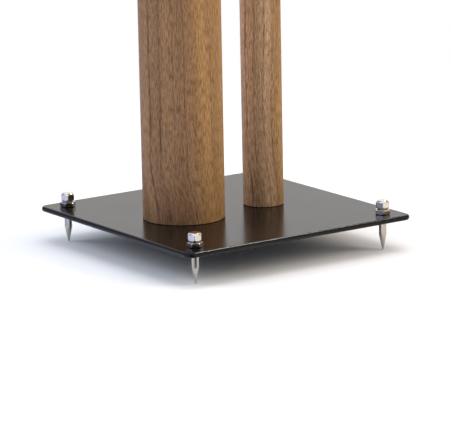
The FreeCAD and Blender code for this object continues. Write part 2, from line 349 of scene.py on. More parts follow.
def makeFloor():
    mesh = bpy.data.meshes.new("floor")
    reach = studio["floorReach"]
    corners = [(-reach, -reach, 0), (reach, -reach, 0), (reach, reach, 0), (-reach, reach, 0)]
    mesh.from_pydata(corners, [], [(0, 1, 2, 3)])
    floor = bpy.data.objects.new("floor", mesh)
    bpy.context.scene.collection.objects.link(floor)
    material = bpy.data.materials.new("paleFloor")
    material.use_nodes = True
    tree = material.node_tree
    tree.nodes.clear()
    path = addNode(tree, "ShaderNodeLightPath").node
    spot = addNode(tree, "ShaderNodeTexCoord", output="Object")
    distance = vectorCalc(tree, "LENGTH", spot)
    across = vectorCalc(tree, "DOT_PRODUCT", spot, tuple(toRight))
    forwards = vectorCalc(tree, "DOT_PRODUCT", spot, tuple(toFront))
    # painted shade in the floor as metal sees it: nearly black towards the camera, and darker,
    # bluish on the left and warm on the right, past the stand
    ahead = times(tree, ramp(tree, forwards, *studio["aheadStart"]),
                  ramp(tree, absolute(tree, across), *studio["aheadWidth"], 1.0, 0.0))
    plain, dim = ((studio[name],) * 3 for name in ("floorColour", "floorAhead"))
    toSide = ramp(tree, across, -studio["floorSides"], studio["floorSides"])
    shine = mixColour(tree, toSide, studio["floorLeft"], studio["floorRight"])
    shine = mixColour(tree, ramp(tree, distance, *studio["floorBeside"]), plain, shine)
    shine = mixColour(tree, ahead, shine, dim)
    colour = mixColour(tree, path.outputs["Is Glossy Ray"], plain, shine)
    colour = mixColour(tree, path.outputs["Is Camera Ray"], colour, studio["floorSeen"])
    paper = addNode(tree, "ShaderNodeBsdfDiffuse", (colour,))
    glow = addNode(tree, "ShaderNodeEmission", ((1, 1, 1), 1.0))
    fade = times(tree, ramp(tree, distance, *studio["fade"]), path.outputs["Is Camera Ray"])
    surface = addNode(tree, "ShaderNodeMixShader", (fade, paper, glow))
    out = tree.nodes.new("ShaderNodeOutputMaterial")
    tree.links.new(surface, out.inputs["Surface"])
    mesh.materials.append(material)


makeSurroundings()
makeLamps()
makeFloor()
print("studio lit")


# shared effects

mottleFacts = {
    "speckCells": 420.0,             # to the metre
    "speckEdge": (0.10, 0.04),
    "speckRoughness": 0.25,
    "patchScale": 160.0,             # the specks come in patches
    "patchEdge": (0.62, 0.70),
    "cloudNoise": (4.0, 0.55),       # detail and roughness
    "toothNoise": (2.0, 0.5),
}


def makeMottle():  # cloudy shine, fine tooth and sparse specks, for coated and plated surfaces
    tree, given, result = newTree("finishMottle", "ShaderNodeTree", [
        ("Vector", "Vector", None), ("Cloud Size", "Float", 30.0), ("Tooth Size", "Float", 900.0),
        ("Roughness", "Float", 0.3), ("Spread", "Float", 0.05), ("Speck Amount", "Float", 0.0),
    ], [("Roughness", "Float", None), ("Height", "Float", None), ("Specks", "Float", None)])
    spot = given["Vector"]
    cloud = noise(tree, spot, given["Cloud Size"], *mottleFacts["cloudNoise"])
    tooth = noise(tree, spot, given["Tooth Size"], *mottleFacts["toothNoise"])
    cells = addNode(tree, "ShaderNodeTexVoronoi", {
        "Vector": spot, "Scale": mottleFacts["speckCells"]}, "Distance")
    patches = noise(tree, spot, mottleFacts["patchScale"], 1.0)
    specks = times(tree, ramp(tree, cells, *mottleFacts["speckEdge"]),
                   ramp(tree, patches, *mottleFacts["patchEdge"]))
    specks = times(tree, specks, given["Speck Amount"])
    swing = times(tree, minus(tree, cloud, 0.5), given["Spread"])
    rough = plus(tree, given["Roughness"], times(tree, swing, 2.0))
    rough = plus(tree, rough, times(tree, specks, mottleFacts["speckRoughness"]))
    plug(tree, result["Roughness"], rough)
    plug(tree, result["Height"], tooth)
    plug(tree, result["Specks"], specks)
    return tree


finishMottle = makeMottle()


def addMottle(tree, spot, facts):
    return useGroup(tree, finishMottle, {
        "Vector": spot, "Cloud Size": facts["cloudSize"], "Tooth Size": facts["toothSize"],
        "Roughness": facts["roughness"], "Spread": facts["spread"],
        "Speck Amount": facts["specks"]}).node


def newMaterial(name):  # a material with its Principled shader, and the tree to build in
    material = bpy.data.materials.new(name)
    material.use_nodes = True
    tree = material.node_tree
    shader = tree.nodes["Principled BSDF"]
    return material, tree, shader


def addBump(tree, shader, height, strength, distance):
    values = {"Strength": strength, "Distance": distance, "Height": height}
    plug(tree, shader.inputs["Normal"], addNode(tree, "ShaderNodeBump", values))


# black coated steel: plates and end discs

coatFacts = {
    "colour": (0.0030, 0.0028, 0.0028),
    "dust": (0.034, 0.031, 0.028),
    "veil": (0.35, 0.75, 0.0, 0.10),    # dust between the specks, at most a tenth
    "veilNoise": (9.0, 5.0, 0.6),    # scale, detail and roughness
    "roughness": 0.20,
    "spread": 0.03,
    "cloudSize": 22.0,
    "toothSize": 1400.0,
    "specks": 0.25,
    "ior": 1.345,
    "bump": 0.06,
    "relief": 0.0002,                # metres
}


def makeBlackCoat():
    material, tree, shader = newMaterial("blackCoat")
    spot = addNode(tree, "ShaderNodeTexCoord", output="Object")
    mottle = addMottle(tree, spot, coatFacts)
    veil = ramp(tree, noise(tree, spot, *coatFacts["veilNoise"]), *coatFacts["veil"])
    dusty = plus(tree, veil, mottle.outputs["Specks"])
    colour = mixColour(tree, dusty, coatFacts["colour"], coatFacts["dust"])
    fill(tree, shader.inputs, {
        "Base Color": colour, "Roughness": mottle.outputs["Roughness"], "IOR": coatFacts["ior"]})
    addBump(tree, shader, mottle.outputs["Height"], coatFacts["bump"], coatFacts["relief"])
    return material


blackCoat = makeBlackCoat()
for name in ("base_plate", "top_plate", "main_column_lower_disc", "main_column_upper_disc",
             "rear_column_lower_disc", "rear_column_upper_disc"):
    dressNode(name, blackCoat)
print("plates coated")


# walnut veneer sleeves round the columns

veneerFacts = {
    "thickness": 0.0006,
    "ease": 0.00018,             # softened edge at the foot and top
    "around": 160,
    "seam": math.radians(145),   # where the sheet's two edges meet, away from the camera
    # places round the sheet are metres from the seam; a line is (place, half width, depth)
    "main": {"radius": 0.0381, "y": -0.0445, "figure": {
        "Half Split": 0.1235, "Bend": 0.0100,
        "Lines A": (0.0869, 0.0022, 0.78), "Lines B": (0.0996, 0.0012, 0.42),
        "Lines C": (0.1130, 0.0013, 0.34), "Lines D": (0.1235, 0.0010, 0.60),
        # painted light: the left half cooler and the right half warmer, split near the side
        # facing the camera, and a slightly darker band near the left edge
        "Left Half Light": (1.04, 1.05, 1.10), "Right Half Light": (1.07, 1.08, 0.90),
        "Edge Band": (0.95, 0.95, 0.98), "Edge Band Place": 0.080}},
    "rear": {"radius": 0.01905, "y": 0.0453, "figure": {
        "Half Split": 0.0618, "Bend": 0.0050,
        "Lines A": (0.0440, 0.0018, 0.60), "Lines B": (0.0530, 0.0012, 0.35),
        "Lines C": (0.0618, 0.0010, 0.50), "Lines D": (0.0700, 0.0012, 0.30),
        # painted light: the left half far lighter and bluer where the main column shades it, the
        # right half warmer, and a much lighter bluish band near the left edge
        "Left Half Light": (1.50, 1.72, 2.00), "Right Half Light": (0.99, 1.02, 0.84),
        "Edge Band": (1.95, 2.20, 2.70), "Edge Band Place": 0.042}},
}
woodFacts = {
    "Dark": (0.082, 0.040, 0.025),
    "Middle": (0.246, 0.131, 0.066),
    "Light": (0.355, 0.197, 0.093),
    "Pores": 0.65,
    "Bend Top": 0.094,           # between these heights above the floor the grain sweeps sideways
    "Bend Foot": 0.039,
}
walnutFacts = {"specular": 0.15, "bump": 0.25, "relief": 0.0001}   # relief in metres
figureFacts = {
    "wander": 0.010,             # metres that the grain strays sideways
    "wanderCells": (16.0, 6.0, 0.0),
    "darkest": 0.85,
    "poreCells": (1500.0, 250.0),   # to the metre, across and along the grain
    # noises drawn out along the grain: across, along, detail, shift
    "broad": (80.0, 1.5, 2.0, 1.0),       # bands about 12 mm wide
    "streaks": (330.0, 5.0, 3.0, 5.0),    # soft growth lines, 2 to 4 mm
    "thin": (1000.0, 14.0, 2.0, 25.0),    # fine streaks, 1 mm
    "fibre": (1900.0, 60.0, 2.0, 9.0),
    "fleck": (1050.0, 130.0, 2.0, 13.0),  # short dashes, 1 mm by 8 mm
    "blotch": (200.0, 40.0, 2.0, 17.0),
    "breaks": (260.0, 50.0, 2.0, 31.0),   # where the dark lines fade
    "grainRoughness": 0.55,
    # smooth steps: start, end, and the values there
    "lessSweep": (0.0, 0.03, 1.0, 0.5),   # metres past the split between the painted light's halves
    # how soon the painted light turns from the left half's to the right half's
    "halfSplitEdge": (0.002, 0.014),
    # how far round the band near the left edge reaches, painted light on the rear column
    "edgeBandReach": (0.004, 0.014, 1.0, 0.0),
    "bands": (0.30, 0.70, 0.15, 0.85),
    "softLines": (0.46, 0.30, 0.0, 0.24),
    "thinLines": (0.46, 0.30, 0.0, 0.30),
    "breakShare": (0.35, 0.65, 0.45, 1.2),
    "fleckShade": (0.36, 0.62, 0.72, 1.22),
    "fibreShade": (0.25, 0.75, -0.10, 0.10),
    "blotchShade": (0.3, 0.7, -0.04, 0.04),
    "poreReach": (0.42, 0.62, 0.27, 0.08),
    "matt": (0.2, 0.8, 0.46, 0.56),
    "poreMatt": 0.2,             # how much rougher a pore is
    "fibreRelief": 0.35,         # a pore's depth being 1
}


def makeSleeveTree():  # a thin tube with eased ends and a sheet map in metres
    tree, given, result = newTree("veneerSleeve", "GeometryNodeTree", [
        ("Radius", "Float", 0.038), ("Thickness", "Float", 0.0006), ("Foot", "Float", 0.0338),
        ("Height", "Float", 0.56), ("Ease", "Float", 0.0002), ("Around", "Int", 160),
        ("Seam", "Float", 0.0), ("Middle", "Vector", None), ("Finish", "Material", None),
    ], [("Sleeve", "Geometry", None)])
    middle = minus(tree, given["Radius"], over(tree, given["Thickness"], 2.0))
    path = addNode(tree, "GeometryNodeCurveArc", {
        "Resolution": given["Around"], "Radius": middle, "Start Angle": given["Seam"],
        "Sweep Angle": math.tau}, mode="RADIUS")
    captured = tree.nodes.new("GeometryNodeCaptureAttribute")
    captured.capture_items.new("FLOAT", "along")
    plug(tree, captured.inputs["Geometry"], path)
    along = addNode(tree, "GeometryNodeSplineParameter", output="Factor")
    plug(tree, captured.inputs["along"], along)
    upright = addNode(tree, "GeometryNodeSetCurveNormal", (captured.outputs["Geometry"],))
    upright.node.mode = "Z_UP"
    section = addNode(tree, "GeometryNodeCurvePrimitiveQuadrilateral",
                      {"Width": given["Thickness"], "Height": given["Height"]})
    eased = addNode(tree, "GeometryNodeFilletCurve",
                    {"Curve": section, "Count": 3, "Radius": given["Ease"]}, mode="POLY")
    swept = addNode(tree, "GeometryNodeCurveToMesh", {"Curve": upright, "Profile Curve": eased})
    halfway = plus(tree, given["Foot"], over(tree, given["Height"], 2.0))
    place = vectorCalc(tree, "ADD", given["Middle"], joinXyz(tree, 0.0, 0.0, halfway))
    lifted = moved(tree, swept, place)
    girth = times(tree, given["Radius"], math.tau)
    around = times(tree, captured.outputs["along"], girth)
    height = splitXyz(tree, addNode(tree, "GeometryNodeInputPosition"))[2]
    mapped = addNode(tree, "GeometryNodeStoreNamedAttribute", {
        "Geometry": lifted, "Name": "sheetMap"}, data_type="FLOAT2", domain="CORNER")
    plug(tree, mapped.node.inputs["Value"], joinXyz(tree, around, height, 0.0))
    merged = addNode(tree, "GeometryNodeMergeByDistance", {"Geometry": mapped, "Distance": 2e-5})
    smooth = addNode(tree, "GeometryNodeSetShadeSmooth", (merged,))
    plug(tree, result["Sleeve"], finished(tree, smooth, given["Finish"]))
    return tree


def makeWalnutGroup():  # the veneer's figure: dark growth lines, dashes and pores, with painted light in two halves and one band
    tree, given, result = newTree("walnutFigure", "ShaderNodeTree", [
        ("Sheet", "Vector", None), ("Half Split", "Float", 0.12), ("Lines A", "Vector", None),
        ("Lines B", "Vector", None), ("Lines C", "Vector", None), ("Lines D", "Vector", None),
        ("Bend", "Float", 0.010), ("Bend Top", "Float", 0.094), ("Bend Foot", "Float", 0.039),
        ("Dark", "Color", (0.06, 0.03, 0.02, 1)), ("Middle", "Color", (0.2, 0.1, 0.05, 1)),
        ("Light", "Color", (0.3, 0.2, 0.1, 1)), ("Left Half Light", "Color", (1, 1, 1, 1)),
        ("Right Half Light", "Color", (1, 1, 1, 1)), ("Edge Band", "Color", (1, 1, 1, 1)),
        ("Edge Band Place", "Float", 0.04), ("Pores", "Float", 0.6),
    ], [("Colour", "Color", None), ("Roughness", "Float", None), ("Height", "Float", None)])
    around, v, _ = splitXyz(tree, given["Sheet"])

    def stretched(place, across, along, shift):
        return joinXyz(tree, times(tree, place, across), times(tree, v, along), shift)

    def step(kind, value):
        return ramp(tree, value, *figureFacts[kind])

    # the grain wanders, and sweeps sideways near the foot, less so right of the painted light's
    # split
    slow = noise(tree, stretched(around, *figureFacts["wanderCells"]), 1.0)
    wander = times(tree, minus(tree, slow, 0.5), figureFacts["wander"])
    fall = ramp(tree, v, given["Bend Foot"], given["Bend Top"], 1.0, 0.0)
    less = step("lessSweep", minus(tree, around, given["Half Split"]))
    sweep = times(tree, times(tree, fall, given["Bend"]), less)
    bent = plus(tree, minus(tree, around, sweep), wander)

    def grain(kind):
        across, along, detail, shift = figureFacts[kind]
        return noise(tree, stretched(bent, across, along, shift), 1.0, detail,
                     figureFacts["grainRoughness"])

    fibre, fleck = grain("fibre"), grain("fleck")
    # colour: light bands, then painted light: a cooler left half and a warmer right half, split
    # near the side facing the camera, and one band near the left edge
    bands = step("bands", grain("broad"))
    colour = mixColour(tree, bands, given["Middle"], given["Light"])
    second = step("halfSplitEdge", minus(tree, bent, given["Half Split"]))
    tint = mixColour(tree, second, given["Left Half Light"], given["Right Half Light"])
    # painted light: a band near the left edge, much lighter and bluish on the rear column,
    # slightly darker on the main one
    offEdgeBand = absolute(tree, minus(tree, around, given["Edge Band Place"]))
    tint = mixColour(tree, step("edgeBandReach", offEdgeBand), tint, given["Edge Band"])
    colour = tinted(tree, colour, tint)
    # growth lines, soft, fine and drawn
    darkness = plus(
        tree, step("softLines", grain("streaks")), step("thinLines", grain("thin")))
    for letter in "ABCD":
        place, width, depth = splitXyz(tree, given["Lines " + letter])
        off = over(tree, absolute(tree, minus(tree, bent, place)), width)
        darkness = plus(tree, darkness, times(tree, ramp(tree, off, 1.0, 0.0), depth))
    darkness = times(tree, darkness, step("breakShare", grain("breaks")))
    darkness = calc(tree, "MINIMUM", darkness, figureFacts["darkest"])
    colour = mixColour(tree, darkness, colour, given["Dark"])
    # dashes and fibres
    shade = plus(tree, step("fleckShade", fleck), step("fibreShade", fibre))
    shade = plus(tree, shade, step("blotchShade", grain("blotch")))
    colour = shaded(tree, colour, shade)
    # open pores, more of them where the wood is dark
    cells = addNode(tree, "ShaderNodeTexVoronoi", {
        "Vector": stretched(bent, *figureFacts["poreCells"], 0.0), "Scale": 1.0}, "Distance")
    pore = calc(tree, "LESS_THAN", cells, step("poreReach", fleck))
    pore = times(tree, pore, given["Pores"])
    plug(tree, result["Colour"], mixColour(tree, pore, colour, given["Dark"]))
    matt = step("matt", fibre)
    plug(tree, result["Roughness"], plus(tree, times(tree, pore, figureFacts["poreMatt"]), matt))
    relief = times(tree, fibre, figureFacts["fibreRelief"])
    plug(tree, result["Height"], minus(tree, relief, pore))
    return tree


walnutFigure = makeWalnutGroup()


def makeWalnut(column):
    material, tree, shader = newMaterial(column + "Walnut")
    sheet = addNode(tree, "ShaderNodeUVMap", output="UV", uv_map="sheetMap")
    figure = {"Sheet": sheet, **veneerFacts[column]["figure"], **woodFacts}
    wood = useGroup(tree, walnutFigure, figure).node
    fill(tree, shader.inputs, {
        "Base Color": wood.outputs["Colour"], "Roughness": wood.outputs["Roughness"],
        "Specular IOR Level": walnutFacts["specular"]})
    addBump(tree, shader, wood.outputs["Height"], walnutFacts["bump"],
            walnutFacts["relief"])
    return material


sleeveTree = makeSleeveTree()
for column in ("main", "rear"):
    facts = veneerFacts[column]
    node = column + "_column_veneer"
    low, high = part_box(node)
    sleeve = growPiece(column + "ColumnVeneer", sleeveTree, {
        "Radius": facts["radius"], "Thickness": veneerFacts["thickness"], "Foot": low.z,
        "Height": high.z - low.z, "Ease": veneerFacts["ease"], "Around": veneerFacts["around"],
        "Seam": veneerFacts["seam"], "Middle": (0.0, facts["y"], 0.0),
        "Finish": makeWalnut(column)})
    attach(sleeve, "stand")
    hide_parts(node)
print("columns veneered")


# turned and hexagonal hardware

sharpFrom = math.radians(32)     # edges from this angle on stay crisp


def turnRings(name, rings, around, material):  # rings, pole to pole, as (kind, size, height)
    points, faces = [], []
    for kind, size, height in rings:
        if kind == "pole":
            points.append((0, 0, height))
            continue
        for step in range(around):
            angle = math.tau * step / around
            radius = size
            if kind == "hexagon":  # size is across the flats
                off = abs(math.degrees(angle) % 60 - 30)
                radius = size / 2 / math.cos(math.radians(off))
            points.append((radius * math.cos(angle), radius * math.sin(angle), height))
    for ring in range(len(rings) - 3):
        for step in range(around):
            a = 1 + ring * around + step
            b = 1 + ring * around + (step + 1) % around
            faces.append((a, b, b + around, a + around))
    end = len(points) - 1
    for step in range(around):
        following = (step + 1) % around
        faces.append((0, 1 + following, 1 + step))
        faces.append((end, end - around + step, end - around + following))
    mesh = bpy.data.meshes.new(name)
    mesh.from_pydata(points, [], faces)
    bm = bmesh.new()
    bm.from_mesh(mesh)
    bmesh.ops.recalc_face_normals(bm, faces=bm.faces)
    bm.to_mesh(mesh)
    bm.free()
    mesh.shade_smooth()
    mesh.set_sharp_from_angle(angle=sharpFrom)
    mesh.materials.append(material)
    turned = bpy.data.objects.new(name, mesh)
    bpy.context.scene.collection.objects.link(turned)
    return turned


def addSheet(tree, around, along):  # a grid to roll up, its angle round the axis, and v upwards
    sheet = addNode(tree, "GeometryNodeMeshGrid", {
        "Size X": 1.0, "Size Y": 1.0, "Vertices X": plus(tree, around, 1), "Vertices Y": along})
    spot = vectorCalc(tree, "ADD", addNode(tree, "GeometryNodeInputPosition"), (0.5, 0.5, 0.0))
    u, v, _ = splitXyz(tree, spot)
    return sheet, times(tree, u, math.tau), v


def makeHexagonTree():  # a hexagonal bar with its corners turned off at both ends, solid or bored
    tree, given, result = newTree("bevelledHexagon", "GeometryNodeTree", [
        ("Across Flats", "Float", 0.013), ("Height", "Float", 0.004),
        ("Face Diameter", "Float", 0.012), ("Bevel Angle", "Float", 0.52),
        ("Corner Softness", "Float", 0.0005), ("Edge Softness", "Float", 0.0003),
        ("Bore Diameter", "Float", 0.0), ("Around", "Int", 144), ("Along", "Int", 72),
        ("Place", "Vector", None), ("Turn", "Float", 0.0), ("Finish", "Material", None),
    ], [("Hexagon", "Geometry", None)])
    least = 0.0001  # keeps divisors off zero
    sixth = math.pi / 3
    half, bore, apothem, faceRadius = (times(tree, given[label], 0.5) for label in (
        "Height", "Bore Diameter", "Across Flats", "Face Diameter"))
    sheet, angle, v = addSheet(tree, given["Around"], given["Along"])
    # rise: the angle above the level through the middle, seen from the middle
    steepest = calc(tree, "ARCTAN2", half, bore)
    rise = times(tree, minus(tree, times(tree, v, 2.0), 1.0), steepest)
    level = calc(tree, "MAXIMUM", cosine(tree, rise), least)
    climb = calc(tree, "MAXIMUM", absolute(tree, sine(tree, rise)), least)
    off = absolute(tree, minus(tree, calc(tree, "MODULO", angle, sixth), sixth / 2))
    nearFlat = over(tree, apothem, times(tree, level, cosine(tree, off)))
    farFlat = over(tree, apothem, times(tree, level, cosine(tree, minus(tree, sixth, off))))
    sides = calc(tree, "SMOOTH_MIN", nearFlat, farFlat, given["Corner Softness"])
    endFace = over(tree, half, climb)
    slope = calc(tree, "TANGENT", given["Bevel Angle"])
    faceEdge = plus(tree, times(tree, faceRadius, slope), half)
    bevel = over(tree, faceEdge, plus(tree, times(tree, level, slope), climb))
    reach = calc(tree, "SMOOTH_MIN", sides, bevel, given["Edge Softness"])
    reach = calc(tree, "SMOOTH_MIN", reach, endFace, given["Edge Softness"])
    height = plus(tree, times(tree, reach, sine(tree, rise)), half)
    spot = polar(tree, times(tree, reach, cosine(tree, rise)), angle, height)
    shaped = addNode(tree, "GeometryNodeSetPosition", {"Geometry": sheet, "Position": spot})
    # the bore's wall, only where there is a bore
    wall, angle, v = addSheet(tree, given["Around"], 2)
    wallSpot = polar(tree, bore, angle, times(tree, minus(tree, 1.0, v), given["Height"]))
    bored = addNode(tree, "GeometryNodeSetPosition", {"Geometry": wall, "Position": wallSpot})
    both = tree.nodes.new("GeometryNodeJoinGeometry")
    plug(tree, both.inputs[0], shaped)
    plug(tree, both.inputs[0], bored)
    hasBore = calc(tree, "GREATER_THAN", given["Bore Diameter"], 0.0)
    chosen = addNode(tree, "GeometryNodeSwitch", {
        "Switch": hasBore, "False": shaped, "True": both.outputs[0]}, input_type="GEOMETRY")
    merged = addNode(tree, "GeometryNodeMergeByDistance", {"Geometry": chosen, "Distance": 2e-6})
    smooth = addNode(tree, "GeometryNodeSetShadeSmooth", (merged,))
    placed = moved(tree, smooth, given["Place"], joinXyz(tree, 0.0, 0.0, given["Turn"]))
    plug(tree, result["Hexagon"], finished(tree, placed, given["Finish"]))
    return tree


hexagonTree = makeHexagonTree()

threadFacts = {
    "barSunk": 0.0005,           # metres that the bar and the thread go on inside the head
    "threadSunk": 0.0003,
    "rootSunk": 0.00005,         # metres that the ridge starts inside the bar
    "shoulder": 0.00035,         # softness where the cone meets the shank
    "perTurn": 40,
    "ridgeFoot": 0.86,           # the ridge's widths, in pitches
    "ridgeTop": 0.14,
    "runOutStart": 0.02,         # share of the ridge that the first turn begins with
}


def makeSpikeTree():  # a levelling spike from its tip up: cone, shank, thread and bevelled head
    tree, given, result = newTree("levellingSpike", "GeometryNodeTree", [
        ("Tip Diameter", "Float", 0.001), ("Cone Length", "Float", 0.0125),
        ("Shank Diameter", "Float", 0.0065), ("Thread Diameter", "Float", 0.008),
        ("Pitch", "Float", 0.00125), ("Thread Start", "Float", 0.0235), ("Seat", "Float", 0.037),
        ("Across Flats", "Float", 0.0125), ("Head Height", "Float", 0.0092),
        ("Face Diameter", "Float", 0.0098), ("Bevel Angle", "Float", 0.78),
        ("Corner Softness", "Float", 0.001), ("Edge Softness", "Float", 0.0004),
        ("Around", "Int", 64), ("Along", "Int", 130), ("Head Along", "Int", 110),
        ("Place", "Vector", None), ("Turn", "Float", 0.0),
        ("Head Finish", "Material", None), ("Shank Finish", "Material", None),
    ], [("Spike", "Geometry", None)])
    sheet, angle, v = addSheet(tree, given["Around"], given["Along"])
    height = times(tree, times(tree, v, v), plus(tree, given["Seat"], threadFacts["barSunk"]))
    tip, shank, crest = (times(tree, given[label], 0.5) for label in (
        "Tip Diameter", "Shank Diameter", "Thread Diameter"))
    flare = over(tree, minus(tree, shank, tip), given["Cone Length"])
    cone = plus(tree, tip, times(tree, height, flare))
    radius = calc(tree, "SMOOTH_MIN", cone, shank, threadFacts["shoulder"])
    left = minus(tree, 1.0, calc(tree, "MINIMUM", over(tree, height, tip), 1.0))
    blunt = calc(tree, "SQRT", minus(tree, 1.0, times(tree, left, left)))
    belowTop = calc(tree, "LESS_THAN", v, 0.9999)  # the last ring closes on the axis
    radius = times(tree, times(tree, radius, blunt), belowTop)
    turned = addNode(tree, "GeometryNodeSetPosition", {
        "Geometry": sheet, "Position": polar(tree, radius, angle, height)})
    turned = addNode(tree, "GeometryNodeMergeByDistance", {"Geometry": turned, "Distance": 1e-6})

    # the thread's ridge follows a helix and runs out over its first turn
    threadTop = plus(tree, given["Seat"], threadFacts["threadSunk"])
    length = minus(tree, threadTop, given["Thread Start"])
    turns = over(tree, length, given["Pitch"])
    root = minus(tree, shank, threadFacts["rootSunk"])
    helix = addNode(tree, "GeometryNodeCurveSpiral", {
        "Resolution": threadFacts["perTurn"], "Rotations": turns, "Start Radius": root,
        "End Radius": root, "Height": length})
    along = addNode(tree, "GeometryNodeSplineParameter", output="Factor")
    grown = plus(tree, times(tree, along, turns), threadFacts["runOutStart"])
    runOut = calc(tree, "MINIMUM", grown, 1.0)
    helix = addNode(tree, "GeometryNodeSetCurveNormal", (helix,), mode="Z_UP")
    depth = minus(tree, crest, root)
    ridge = addNode(tree, "GeometryNodeCurvePrimitiveQuadrilateral", {
        "Bottom Width": times(tree, given["Pitch"], threadFacts["ridgeFoot"]),
        "Top Width": times(tree, given["Pitch"], threadFacts["ridgeTop"]),
        "Height": depth, "Offset": 0.0}, mode="TRAPEZOID")
    ridge = moved(tree, ridge, joinXyz(tree, times(tree, depth, 0.5), 0.0, 0.0),
                  (0.0, 0.0, -math.pi / 2))
    thread = addNode(tree, "GeometryNodeCurveToMesh", {
        "Curve": helix, "Profile Curve": ridge, "Scale": runOut, "Fill Caps": True})
    thread = moved(tree, thread, joinXyz(tree, 0.0, 0.0, given["Thread Start"]))

    steel = tree.nodes.new("GeometryNodeJoinGeometry")
    plug(tree, steel.inputs[0], addNode(tree, "GeometryNodeSetShadeSmooth", (turned,)))
    plug(tree, steel.inputs[0], thread)
    steel = addNode(tree, "GeometryNodeSetMaterial", {
        "Geometry": steel.outputs[0], "Material": given["Shank Finish"]})
    shared = ("Across Flats", "Face Diameter", "Bevel Angle", "Corner Softness", "Edge Softness")
    head = useGroup(tree, hexagonTree, {
        **{label: given[label] for label in shared}, "Height": given["Head Height"],
        "Along": given["Head Along"], "Place": joinXyz(tree, 0.0, 0.0, given["Seat"]),
        "Finish": given["Head Finish"]})
    whole = tree.nodes.new("GeometryNodeJoinGeometry")
    plug(tree, whole.inputs[0], steel)
    plug(tree, whole.inputs[0], head)
    placed = moved(
        tree, whole.outputs[0], given["Place"], joinXyz(tree, 0.0, 0.0, given["Turn"]))
    plug(tree, result["Spike"], addNode(tree, "GeometryNodeRealizeInstances", (placed,)))
    return tree


spikeFacts = {
    "Tip Diameter": 0.001, "Cone Length": 0.0145, "Shank Diameter": 0.007,
    "Thread Diameter": 0.008, "Pitch": 0.00125, "Thread Start": 0.0273,
    "Seat": 0.0388,              # where the head begins, above the floor
    "Across Flats": 0.012, "Head Height": 0.0085, "Face Diameter": 0.0094,
    "Bevel Angle": math.radians(45), "Corner Softness": 0.0010, "Edge Softness": 0.0006,
    "turns": {"front_left": 30, "front_right": 23, "rear_left": 12, "rear_right": 29},
}
nutFacts = {
    "Across Flats": 0.013, "Height": 0.0048, "Face Diameter": 0.012, "Bore Diameter": 0.0081,
    "Bevel Angle": math.radians(30), "Corner Softness": 0.0004, "Edge Softness": 0.00025,
    "Along": 56,
    "turns": {"front_left": 7, "front_right": 3, "rear_left": 20, "rear_right": 32},
}
metalFacts = {
    "chrome": {"colour": (0.80, 0.79, 0.78), "roughness": 0.05, "spread": 0.02},
    "nickel": {"colour": (0.56, 0.51, 0.46), "roughness": 0.12, "spread": 0.03},
    "turnedSteel": {"colour": (0.60, 0.56, 0.51), "roughness": 0.15, "spread": 0.05},
    "blackOxide": {"colour": (0.030, 0.030, 0.032), "roughness": 0.42, "spread": 0.06},
    "tubeSteel": {"colour": (0.30, 0.30, 0.31), "roughness": 0.45, "spread": 0.08},
}
allMetals = {
    "cloudSize": 260.0, "toothSize": 2600.0, "specks": 0.3,
    "tintNoise": (180.0, 3.0), "tint": (0.3, 0.7, 0.92, 1.04),
    "waveCells": (620.0, 620.0, 170.0), "relief": 0.00005,
    "ringCells": 40.0,           # to the metre, how soon a turned ring changes on its way round
}


def makeLatheGroup():  # fine rings left by turning, along the height
    tree, given, result = newTree("latheRings", "ShaderNodeTree", [
        ("Vector", "Vector", None), ("Rings Per Metre", "Float", 6000.0),
    ], [("Height", "Float", None)])
    x, y, z = splitXyz(tree, given["Vector"])
    cells = allMetals["ringCells"]
    drawn = joinXyz(tree, times(tree, x, cells), times(tree, y, cells),
                    times(tree, z, given["Rings Per Metre"]))
    plug(tree, result["Height"], noise(tree, drawn, 1.0, 2.0))
    return tree


latheRings = makeLatheGroup()


def makeMetal(name, rings=0.0, bump=0.02, waves=0.0):
    facts = {**allMetals, **metalFacts[name]}
    material, tree, shader = newMaterial(name)
    spot = addNode(tree, "ShaderNodeTexCoord", output="Object")
    mottle = addMottle(tree, spot, facts)
    tint = ramp(tree, noise(tree, spot, *facts["tintNoise"]), *facts["tint"])
    fill(tree, shader.inputs, {
        "Base Color": shaded(tree, facts["colour"], tint),
        "Roughness": mottle.outputs["Roughness"], "Metallic": 1.0})
    height = mottle.outputs["Height"]
    if rings:
        turned = useGroup(tree, latheRings, {"Vector": spot, "Rings Per Metre": rings})
        height = plus(tree, height, turned)
    height = times(tree, height, bump)
    if waves:  # uneven polish, drawn out upwards
        drawn = vectorCalc(tree, "MULTIPLY", spot, facts["waveCells"])
        height = plus(tree, height, times(tree, noise(tree, drawn, 1.0, 1.0), waves))
    addBump(tree, shader, height, 1.0, facts["relief"])
    return material


chrome = makeMetal("chrome", bump=0.015, waves=2.5)
nickel = makeMetal("nickel", bump=0.03)
turnedSteel = makeMetal("turnedSteel", rings=5000.0, bump=0.12, waves=1.6)
blackOxide = makeMetal("blackOxide", bump=0.10)
tubeSteel = makeMetal("tubeSteel", rings=900.0, bump=0.10)
for name in ("main_column_tube", "rear_column_tube"):
    dressNode(name, tubeSteel)

